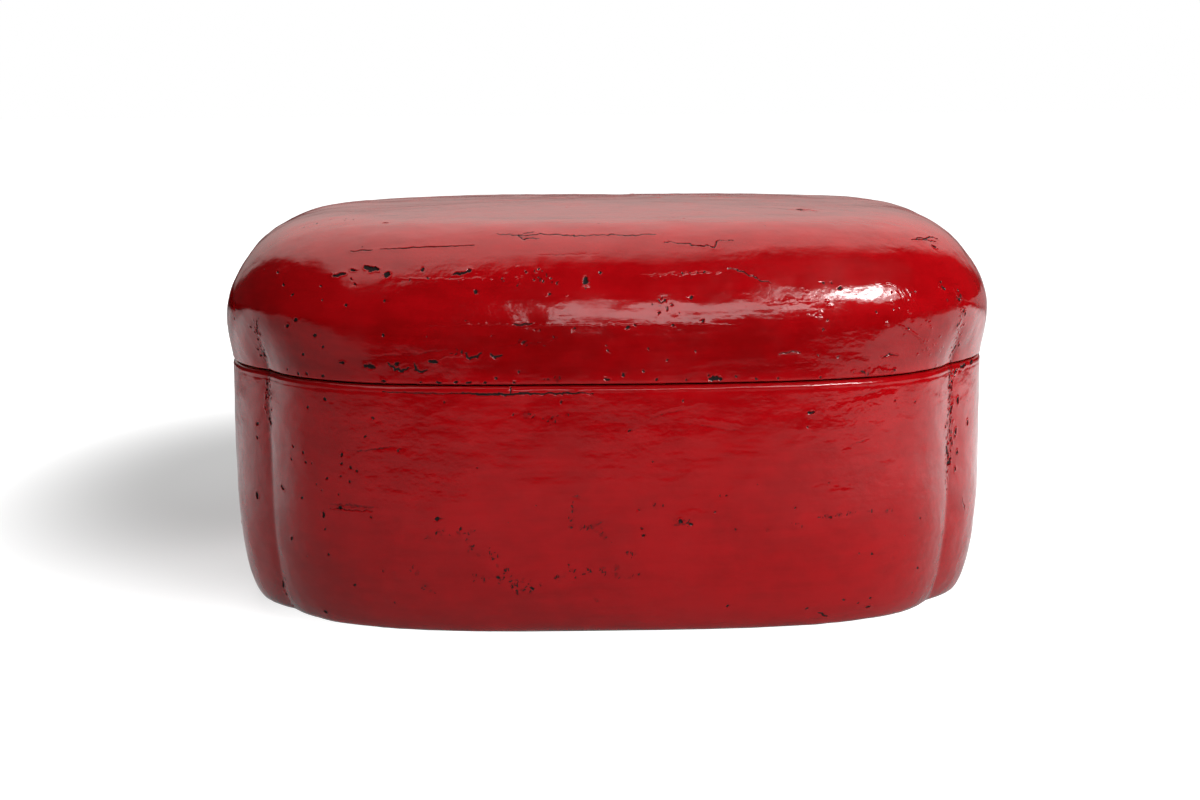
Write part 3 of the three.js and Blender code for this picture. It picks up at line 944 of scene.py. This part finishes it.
def under_rim_flaws(body):
    """Scratches and hammered wrinkles in the upper part."""
    body.crackle(14, 1.6, (-36, 94.4), (-29, 92.5), (-23, 90.8))
    body.crackle(8, 1.2, (-29, 90.3), (-18, 94.2))
    body.pits(
        0.9, (-40, 94), (-20.8, 98.8), (27.7, 99), (6, 87), (78, 87), (115, 95.5), (124, 93.8)
    )
    body.painted_shade_sag(1.2, 0.2, (13, 91.5), (22, 94.5), (30.5, 96))
    body.painted_shade_sag(1.2, 0.2, (26, 90), (38, 88.5), (51.7, 86.2))
    body.wrinkle(2.4, 0.15, (15, 94), (26, 97), (36, 98))
    body.wrinkle(2.4, 0.15, (30, 92), (42, 90.5), (54, 88.5))
    body.painted_shade_sag(1, 0.2, (89, 97.7), (100, 99), (113.8, 101))
    body.wrinkle(2.2, 0.14, (92, 95.5), (104, 97), (116, 99))
    body.chips((79.2, 93, 3, 0.9))
    body.painted_shade_sag(1, 0.2, (92, 77), (97, 79), (106, 81.4))


def worn_band_flaws(body):
    """The worn band across the middle and left of the front."""
    body.crackle(18, 2.6, (-78, 43.7), (-70, 45.5), (-60, 46), (-56, 46.6))
    body.crackle(22, 2.4, (-60, 43), (-55, 38), (-50, 37.5), (-46, 31.5))
    body.crackle(42, 2.8, (-57, 26), (-50, 25.5), (-44, 26), (-39, 21))
    body.crackle(26, 2.6, (-46, 30), (-42, 28), (-37, 22), (-30, 23))
    body.crackle(6, 2.4, (-82, 30), (-78, 31))
    body.crackle(8, 2, (-79, 22), (-73, 20))
    body.crackle(44, 2.4, (-24, 25.5), (-16.7, 29.4), (-5, 28), (3, 27), (8, 27))
    body.pits(1.4, (-46.6, 26.6), (-39.4, 20.6), (-33, 21.7), (-61.8, 47.3), (-71.3, 51.4))
    body.crackle(14, 0.8, (-16, 58), (-17, 52), (-17.6, 46.8))
    body.painted_shade_sag(2, 0.22, (-14, 47.2), (-9, 48), (-4, 50))
    body.crackle(14, 1.4, (-14, 47), (-6, 47), (-4, 43.5), (-1, 41))
    body.painted_shade_sag(2.2, 0.2, (-17, 60.5), (-13, 60))
    body.painted_shade_sag(2.2, 0.2, (-9, 17), (-6, 15.5))
    body.crackle(10, 1.6, (3.5, 36), (8.5, 36))


def body_right_flaws(body):
    """Right of the middle, and the edge of the end lobe."""
    body.chips((26.8, 50.2, 2.4, 1.5, -15))
    body.painted_shade_sag(1.6, 0.25, (22.8, 48.2), (27, 49.2), (31, 48.8))
    body.crackle(8, 1.4, (24, 50), (31, 48.8))
    body.pits(1.3, (42.5, 60), (31, 48.5), (79, 9.8), (88.2, 49.4), (11.3, 46.9), (11.6, 44))
    body.crackle(16, 1, (82.6, 49.6), (88, 49.5), (97, 51.2))
    body.crackle(10, 0.9, (92, 50.6), (97, 50.6), (112, 49.9), (117, 49.6))
    body.crackle(6, 1.6, (71.5, 46.4), (76, 46.8))
    body.crackle(5, 1.6, (16, 56.4), (20, 57))
    body.pits(
        0.9, (45, 60), (40.3, 53.3), (49, 46), (73, 54), (100.5, 33), (106.5, 32), (128, 44),
        (128, 21.7)
    )
    body.pits(1, (101, 10.3), (95, 12.5), (46, 12.6), (106.4, 12))
    body.chips((105.8, 7.8, 2.4, 1, 10))
    body.crack(0.7, 0.8, (84.5, 7.8), (88, 5.2))
    body.painted_shade_sag(2.2, 0.18, (61, 45.5), (63, 45.6))
    body.painted_shade_sag(2.6, 0.18, (115, 29), (116.5, 29))
    body.crack(0.4, 0.5, (151.2, 46.5), (152, 42), (152.8, 39.6))
    body.chips(
        (146.2, 75.6, 4.2, 1.2, 88), (147, 89.4, 3, 1.2, 80), (153, 78.8, 2.6, 1.4, 75),
        (147.2, 67, 1.8, 1.1, 70), (146.4, 59.8, 2.6, 1, 85)
    )


def body_flaws(body):
    rim_flaws(body)
    body_left_flaws(body)
    under_rim_flaws(body)
    worn_band_flaws(body)
    body_right_flaws(body)
    body.crust("front right", 60, 103, 190)
    body.crust("front right", 46, 60, 10)
    body.crust("front left", 84, 103, 36)
    body.crust("front left", 3, 16, 16)
    body.crust("back left", 20, 100, 60)
    body.crust("back right", 20, 100, 60)
    body.scattered("front", (-130, 6), (130, 98), pits=8)
    body.scattered("back", (-130, 6), (130, 100), chips=14, pits=30, cracks=5)
    body.crackle(40, 3.5, (-70, 40), (-40, 52), (-10, 45))
    body.crackle(25, 3, (30, 70), (60, 62))
    body.scattered("left", (-75, 6), (30, 100), chips=8, pits=22, cracks=2)
    body.scattered("right", (-30, 6), (75, 100), chips=8, pits=22, cracks=2)


# Finishes

DEEP_RED = (0.18, 0.0002, 0.001, 1)
BRIGHT_RED = (0.335, 0.001, 0.003, 1)
# A darker red for worn lacquer, and for painted shade along the hollows beside ridges.
THIN_RED_AND_PAINTED_SHADE = (0.085, 0.0, 0.001, 1)
BLACK_GROUND = (0.012, 0.008, 0.008, 1)
BROWN_BLACK = (0.012, 0.005, 0.004, 1)
WARM_BLACK = (0.035, 0.014, 0.01, 1)
DARK_WOOD = (0.26, 0.15, 0.07, 1)
PALE_WOOD = (0.45, 0.3, 0.16, 1)
DARK_BAMBOO = (0.5, 0.36, 0.17, 1)
PALE_BAMBOO = (0.66, 0.5, 0.26, 1)


def new_material(name):
    material = bpy.data.materials.new(name)
    material.use_nodes = True
    tree = material.node_tree
    tree.nodes.clear()
    shader = add_node(tree, "ShaderNodeBsdfPrincipled")
    add_node(tree, "ShaderNodeOutputMaterial", {0: shader})
    place = Wire(add_node(tree, "ShaderNodeTexCoord").outputs["Object"])
    return material, tree, shader, place


def dress(shader, **looks):
    """Gives the shader's sockets their values or links, by their names in plain words."""
    for name, value in looks.items():
        feed(shader.inputs[name.replace("_", " ").title().replace("Ior", "IOR")], value)


def bumped(tree, height, distance, strength=1.0):
    values = {"Strength": strength, "Distance": distance, "Height": height}
    return wired(tree, "ShaderNodeBump", values)


def kept_value(tree, name):
    return Wire(add_node(tree, "ShaderNodeAttribute", attribute_name=name).outputs["Fac"])


def pinholes(tree, place, scale, share, size):
    """Tiny round holes, in about that share of cells, with 1 at their middles."""
    cells = add_node(tree, "ShaderNodeTexVoronoi", {"Vector": place, "Scale": scale})
    pick, breadth, _ = parts_of(tree, Wire(cells.outputs["Color"]))
    reach = (breadth * 0.6 + 0.4) * size
    hole = 1 - (Wire(cells.outputs["Distance"]) / reach).between(0.6, 1.0)
    return hole * pick.between(1 - share, 1.001 - share)


def red_of(tree, place):
    """The red itself, cloudy and faintly brushed, with painted shade that deepens it low on the
    lid's front.
    """
    cloudy = noise(tree, place, 24.0, 5.0, 0.6)
    brushed = noise(tree, stretched(tree, place, 0.1, 0.3, 1.0), 300.0, 3.0, 0.6)
    mottled = noise(tree, stretched(tree, place, 0.6, 0.8, 1.0), 170.0, 3.0, 0.6)
    tone = (cloudy * 0.5 + brushed * 0.25 + mottled * 0.25).between(0.38, 0.62)
    _, y, z = parts_of(tree, place)
    # Painted shade: the red deepens low on the lid's front, on the front side only.
    painted_shade_low_on_lid = z.between(0.105, 0.112) * (1 - z.between(0.126, 0.137))
    tone = tone - painted_shade_low_on_lid * (1 - y.between(-0.08, -0.04))
    return blend_colors(tree, (tone + 1) * 0.5, DEEP_RED, BRIGHT_RED)


def uneven_polish(tree, place, hollows):
    """The normal of a hand-rubbed coat, which dips where the hollows are."""
    patches = noise(tree, place, 18.0).between(0.4, 0.68)
    peel = noise(tree, stretched(tree, place, 0.7, 0.9, 1.0), 260.0, 2.5, 0.55)
    strokes = noise(tree, stretched(tree, place, 0.16, 0.8, 1.0), 170.0, 2.5, 0.5)
    relief = peel * (0.4 + patches) + strokes * 1.1 - hollows
    return bumped(tree, relief, 0.00018)


def red_lacquer():
    material, tree, shader, place = new_material("red_lacquer")
    _, _, z = parts_of(tree, place)
    grit = noise(tree, place, 1500.0, 2.0, 0.6)
    bare = kept_value(tree, "bare")
    valley = kept_value(tree, "valley")
    dust = noise(tree, place, 700.0, 3.0, 0.65)
    settled = valley.between(0.45, 0.95) * dust.between(0.42, 0.6) * z.between(0.05, 0.095)
    # The half-worn edges of flaws get dark specks, and so does the painted shade along the hollows.
    worn = bare.between(0.06, 0.25) * (1 - bare.between(0.45, 0.7))
    specks = (grit - 0.5) * 2.6 * worn
    holes = pinholes(tree, place, 190.0, 0.10, 0.10)
    # Darker red where the lacquer is worn, where dust has settled in the grooves, and as painted
    # shade along the hollows beside ridges.
    thin_red_and_painted_shade = (bare + (grit - 0.5) * 0.2).between(0.1, 0.38).most(settled * 0.6)
    ground = (bare + specks + (grit - 0.5) * 0.5).between(0.5, 0.72)
    ground = ground.most(holes * 0.85).most(settled * 0.3)
    color = blend_colors(tree, thin_red_and_painted_shade, red_of(tree, place), THIN_RED_AND_PAINTED_SHADE)
    normal = uneven_polish(tree, place, holes * 0.8 + ground * grit * 0.3)
    rubbed = noise(tree, place, 55.0, 3.0, 0.6)
    roughness = 0.1 + rubbed.between(0.4, 0.8) * 0.1
    dress(shader, base_color=color, roughness=roughness, ior=1.5, normal=normal)
    filler = add_node(tree, "ShaderNodeBsdfPrincipled")
    dress(
        filler, base_color=BLACK_GROUND, roughness=0.45, specular_ior_level=0.1, normal=normal
    )
    both = add_node(tree, "ShaderNodeMixShader", {0: ground, 1: shader, 2: filler})
    feed(tree.nodes["Material Output"].inputs[0], both)
    return material


def dark_lacquer():
    material, tree, shader, place = new_material("dark_lacquer")
    shade = noise(tree, place, 30.0, 4.0, 0.6)
    color = blend_colors(tree, shade.between(0.35, 0.7), BROWN_BLACK, WARM_BLACK)
    strokes = noise(tree, stretched(tree, place, 1.0, 1.0, 6.0), 60.0, 3.0, 0.6)
    normal = bumped(tree, strokes, 0.0003)
    dress(shader, base_color=color, roughness=0.3 + strokes * 0.25, normal=normal)
    return material


def core_wood():
    material, tree, shader, place = new_material("core_wood")
    grain = noise(tree, stretched(tree, place, 0.08, 1.0, 1.0), 160.0, 4.0, 0.6)
    rings = noise(tree, stretched(tree, place, 0.2, 1.0, 1.0), 30.0, 2.0, 0.5)
    shade = (grain * 0.5 + rings * 0.5).between(0.35, 0.65)
    color = blend_colors(tree, shade, DARK_WOOD, PALE_WOOD)
    normal = bumped(tree, grain, 0.0002)
    dress(shader, base_color=color, roughness=0.6 + grain * 0.2, normal=normal)
    return material


def split_bamboo():
    material, tree, shader, place = new_material("split_bamboo")
    fibres = noise(tree, place, 900.0, 2.0, 0.5)
    color = blend_colors(tree, fibres.between(0.4, 0.6), DARK_BAMBOO, PALE_BAMBOO)
    dress(shader, base_color=color, roughness=0.5 + fibres * 0.1)
    return material


# Pieces


def body_coat(finish):
    crease = RIM_TOP - RIM_BEAD
    levels = spread(COAT_START, crease - 3 * RIM_CREASE_WIDTH, BODY_ROWS)
    rows = [body_row(0.0, z) for z in levels]
    for z in spread(crease - 2 * RIM_CREASE_WIDTH, RIM_TOP - RIM_ROUNDING, 6):
        fold = math.exp(-(((z - crease) / RIM_CREASE_WIDTH) ** 2))
        rows.append(body_row(RIM_CREASE_DEPTH * fold, z))
    for across, up in quarter_roll(8)[1:]:
        rows.append(body_row(RIM_ROUNDING * across, RIM_TOP - RIM_ROUNDING * (1 - up)))
    under_rim = RIM_TOP - COAT_OVER_WOOD
    rows.append(body_row(BODY_WOOD_END, RIM_TOP))
    rows.append(body_row(BODY_WOOD_END, under_rim))
    rows.append(body_row(COAT_THICKNESS, under_rim))
    rows += [body_row(COAT_THICKNESS, z) for z in spread(under_rim, COAT_START, INNER_ROWS + 4)[1:]]
    piece = swept("body_red_coat", rows, BODY_TREE, finish, flaws=body_flaws)
    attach(piece, "box_body")
    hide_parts("body_lacquer_coat")


def lid_coat(finish):
    crown = spread(1.0, 0.04, CROWN_ROWS)
    inner_crown = spread(0.1, 1.0, INNER_ROWS)
    inside = [lid_row(COAT_THICKNESS, COAT_THICKNESS, math.pi / 2, share) for share in inner_crown]
    turns = spread(math.pi / 2, 0.0, 2 * INNER_ROWS)
    inside += [lid_row(COAT_THICKNESS, COAT_THICKNESS, turn) for turn in turns]
    edge = []
    for across, up in quarter_roll(5)[::-1]:
        turn = lid_turn(LID_EDGE_ROUNDING * (1 - up))
        edge.append(lid_row(LID_EDGE_ROUNDING * across, 0.0, turn))
    first = lid_turn(LID_EDGE_ROUNDING)
    outside = []
    for share in spread(0.0, 1.0, LID_ROWS)[1:]:
        eased = share**1.4 / (share**1.4 + (1 - share) ** 1.4)
        outside.append(lid_row(0.0, 0.0, first + (math.pi / 2 - first) * eased))
    rows = inside + edge + outside + [lid_row(0.0, 0.0, math.pi / 2, share) for share in crown[1:]]
    piece = swept("lid_red_coat", rows, LID_TREE, finish, closed_ring=False, flaws=lid_flaws)
    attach(piece, "lid")
    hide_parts("lid_lacquer_coat")


def body_lining(finish):
    wall_start = BODY_WOOD_END + LAYER_GAP
    wall_end = wall_start + LINING_THICKNESS
    over_lip = LIP_START + LIP_THICKNESS + LAYER_GAP
    under_lip = LIP_BOTTOM - LAYER_GAP
    floor_top = FLOOR_BOTTOM + LINING_THICKNESS
    rows = [body_row(wall_start, z) for z in spread(FLOOR_BOTTOM, under_lip, 14)]
    rows += [body_row(over_lip, under_lip), body_row(over_lip, LIP_TOP)]
    rows += [body_row(over_lip + LINING_THICKNESS, LIP_TOP)]
    rows += [body_row(over_lip + LINING_THICKNESS, under_lip - LINING_THICKNESS)]
    rows += [body_row(wall_end, z) for z in spread(under_lip - LINING_THICKNESS, floor_top, 14)]
    piece = swept("body_dark_lining", rows, BODY_TREE, finish, closed_ring=False)
    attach(piece, "box_body")
    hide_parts("body_lining")


def lid_lining(finish):
    outer = LID_WOOD_END + LAYER_GAP
    inner = outer + LINING_THICKNESS
    crown = spread(1.0, 0.1, 8)
    turns = spread(0.0, math.pi / 2, 30)
    rows = [lid_row(outer, outer + LID_BOARD_EXTRA, math.pi / 2, share) for share in crown[::-1]]
    rows += [lid_row(outer, outer + LID_BOARD_EXTRA, turn) for turn in turns[::-1][1:]]
    rows += [lid_row(inner, inner + LID_BOARD_EXTRA, turn) for turn in turns]
    rows += [lid_row(inner, inner + LID_BOARD_EXTRA, math.pi / 2, share) for share in crown[1:]]
    piece = swept("lid_dark_lining", rows, LID_TREE, finish, closed_ring=False)
    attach(piece, "lid")
    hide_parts("lid_lining")


def lips(finish):
    """Four strips, with a bevel for the lid to slide down on and a hair of room at the grooves."""
    trim = 0.001
    bevel = 0.6 * MM
    rows = [body_row(LIP_START, z) for z in (LIP_BOTTOM, LIP_TOP - bevel)]
    rows += [body_row(LIP_START + bevel, LIP_TOP), body_row(LIP_START + LIP_THICKNESS, LIP_TOP)]
    rows += [body_row(LIP_START + LIP_THICKNESS, LIP_BOTTOM)]
    for side, (start, end, steps) in LOBES.items():
        angles = lobe_angles(start + trim, end - trim, steps // 2) + [end - trim]
        name = "lip_strip_" + side
        piece = swept(name, rows, BODY_TREE, finish, angles=angles, closed_around=False)
        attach(piece, "box_body")
        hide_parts("lip_" + side)


def dress_core(wood, bamboo):
    """The frame's own wooden pieces and pins keep their shapes and get their finishes."""
    for name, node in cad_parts.items():
        node.data.materials.clear()
        node.data.materials.append(bamboo if "pin" in name else wood)


# Studio


def mirrored_table(x, y, away_from_painted_shadow):
    """How brightly the lacquer mirrors the floor: a dim table, brighter at both sides, and darker
    at the painted shadow.
    """
    from_box = ((x * x + y * y) ** 0.5) * (1 - (x * -1).between(0.1, 0.5) * 0.35)
    on_table = y.between(-0.75, -0.42) * (1 - from_box.between(0.66, 1.0))
    far_off = y.between(0.45, 0.8) * x.between(-0.75, -0.4) * 0.42
    at_left = y.between(-0.15, 0.15) * (1 - y.between(0.2, 0.45) * 0.75) * 0.65
    # The mirrored floor is dimmer at the painted shadow.
    level = (0.27 + at_left + x.between(0.05, 0.6) * 0.8) * (0.55 + away_from_painted_shadow * 0.45)
    return (on_table * level).most(far_off)


def studio_floor():
    """A white floor with the box's real shadow and a painted shadow, where it glows less. The
    lacquer mirrors it dimmer.
    """
    reach, level = 6.0, -0.5 * MM
    mesh = bpy.data.meshes.new("studio_floor")
    corners = [(-reach, -reach, level), (reach, -reach, level)]
    corners += [(reach, reach, level), (-reach, reach, level)]
    mesh.from_pydata(corners, [], [(0, 1, 2, 3)])
    floor = put_in_scene("studio_floor", mesh)
    material, tree, shader, place = new_material("studio_floor")
    x, y, _ = parts_of(tree, place)
    path = add_node(tree, "ShaderNodeLightPath")
    seen = Wire(path.outputs["Is Camera Ray"])
    glossy = Wire(path.outputs["Is Glossy Ray"])
    aside, behind = (x - PAINTED_SHADOW_AT[0]) / PAINTED_SHADOW_REACH[0], (y - PAINTED_SHADOW_AT[1]) / PAINTED_SHADOW_REACH[1]
    # Painted shadow: the camera's glow is lower near this place, so the floor there is darker than
    # its real shadow makes it.
    away_from_painted_shadow = ((aside**2.0 + behind**2.0) ** 0.5).between(0.3, 1.4)
    glow = seen * (PAINTED_SHADOW_GLOW + away_from_painted_shadow * 0.95)
    white = add_node(tree, "ShaderNodeEmission", {"Strength": glow})
    values = {"Strength": mirrored_table(x, y, away_from_painted_shadow)}
    mirrored = add_node(tree, "ShaderNodeEmission", values)
    lit = add_node(tree, "ShaderNodeAddShader", {0: shader, 1: white})
    both = add_node(tree, "ShaderNodeMixShader", {0: glossy, 1: lit, 2: mirrored})
    feed(tree.nodes["Material Output"].inputs[0], both)
    color = blend_colors(tree, seen, (0.8, 0.8, 0.8, 1), (0.3, 0.3, 0.3, 1))
    dress(shader, base_color=color, roughness=0.9, specular_ior_level=0.0)
    mesh.materials.append(material)


def studio_world():
    """White to the camera; the lacquer mirrors a warm white backdrop that runs over the box."""
    world = bpy.data.worlds.new("studio")
    world.use_nodes = True
    tree = world.node_tree
    tree.nodes.clear()
    path = add_node(tree, "ShaderNodeLightPath")
    seen = Wire(path.outputs["Is Camera Ray"])
    glossy = Wire(path.outputs["Is Glossy Ray"])
    towards = Wire(add_node(tree, "ShaderNodeTexCoord").outputs["Generated"])
    x, y, z = parts_of(tree, towards)
    height = z.most(0.01)
    aside = x / height
    ahead = y / height
    edge = abs(aside) / (0.8 + ahead.most(0) * 0.5)
    backdrop = (ahead - aside * 0.9).between(-0.55, -0.1) * (1 - edge.between(0.85, 1.15))
    mirrored = (backdrop * z.between(-0.01, 0.03) * (0.31 + z * 1.5)).most(0.02)
    level = seen + (1 - seen) * (glossy * mirrored + (1 - glossy) * FILL)
    color = blend_colors(tree, seen, (1, 0.97, 0.92, 1), (1, 1, 1, 1))
    background = add_node(tree, "ShaderNodeBackground", {"Color": color, "Strength": level})
    add_node(tree, "ShaderNodeOutputWorld", {0: background})
    bpy.context.scene.world = world


def softbox(name, place, aim, width, height, power, mirrored=True):
    """A lamp that the camera doesn't see; the lacquer mirrors it if it is meant to."""
    light = bpy.data.lights.new(name, "AREA")
    light.shape = "RECTANGLE"
    light.size = width
    light.size_y = height
    light.energy = power
    lamp = put_in_scene(name, light)
    turn = (Vector(aim) - Vector(place)).to_track_quat("-Z", "Y").to_matrix().to_4x4()
    lamp.matrix_world = Matrix.Translation(place) @ turn
    lamp.visible_camera = False
    lamp.visible_glossy = mirrored


def camera():
    azimuth, elevation = math.radians(CAMERA_AZIMUTH), math.radians(CAMERA_ELEVATION)
    aside, level = math.sin(azimuth), math.cos(elevation)
    back = Vector((aside * level, -math.cos(azimuth) * level, math.sin(elevation)))
    data = bpy.data.cameras.new("camera")
    data.lens = LENS
    data.sensor_width = 36
    data.shift_x = SHIFT_X
    data.shift_y = SHIFT_Y
    camera_object = put_in_scene("camera", data)
    place = Vector((0, 0, AIM_HEIGHT)) + back * CAMERA_DISTANCE
    turn = (-back).to_track_quat("-Z", "Y").to_matrix().to_4x4()
    roll = Matrix.Rotation(math.radians(CAMERA_ROLL), 4, "Z")
    camera_object.matrix_world = Matrix.Translation(place) @ turn @ roll
    bpy.context.scene.camera = camera_object


camera()
studio_floor()
studio_world()
softbox("main_softbox", (0.56, -0.56, 0.88), (0, 0, 0.1), 0.7, 0.7, 4.8, mirrored=False)
softbox("top_softbox", (0, 0.4, 1.3), (0, 0.2, 0), 1.5, 1.5, 4.0, mirrored=False)
softbox("back_softbox", (0, 0.75, 1.25), (0, 0, 0.15), 1.4, 0.7, 22, mirrored=False)
softbox("key_softbox", (0.66, -0.88, 0.585), (0, -0.1, 0.1), 0.75, 0.30, 3.4)
softbox("key_core", (0.65, -0.79, 0.575), (0, -0.1, 0.1), 0.34, 0.14, 4.2)
softbox("front_strip", (0.16, -1.15, 0.48), (0, -0.1, 0.1), 0.5, 0.2, 1.2)

RED = red_lacquer()
DARK = dark_lacquer()
body_coat(RED)
lid_coat(RED)
body_lining(DARK)
lid_lining(DARK)
lips(DARK)
dress_core(core_wood(), split_bamboo())

bpy.context.scene.view_settings.view_transform = "Standard"
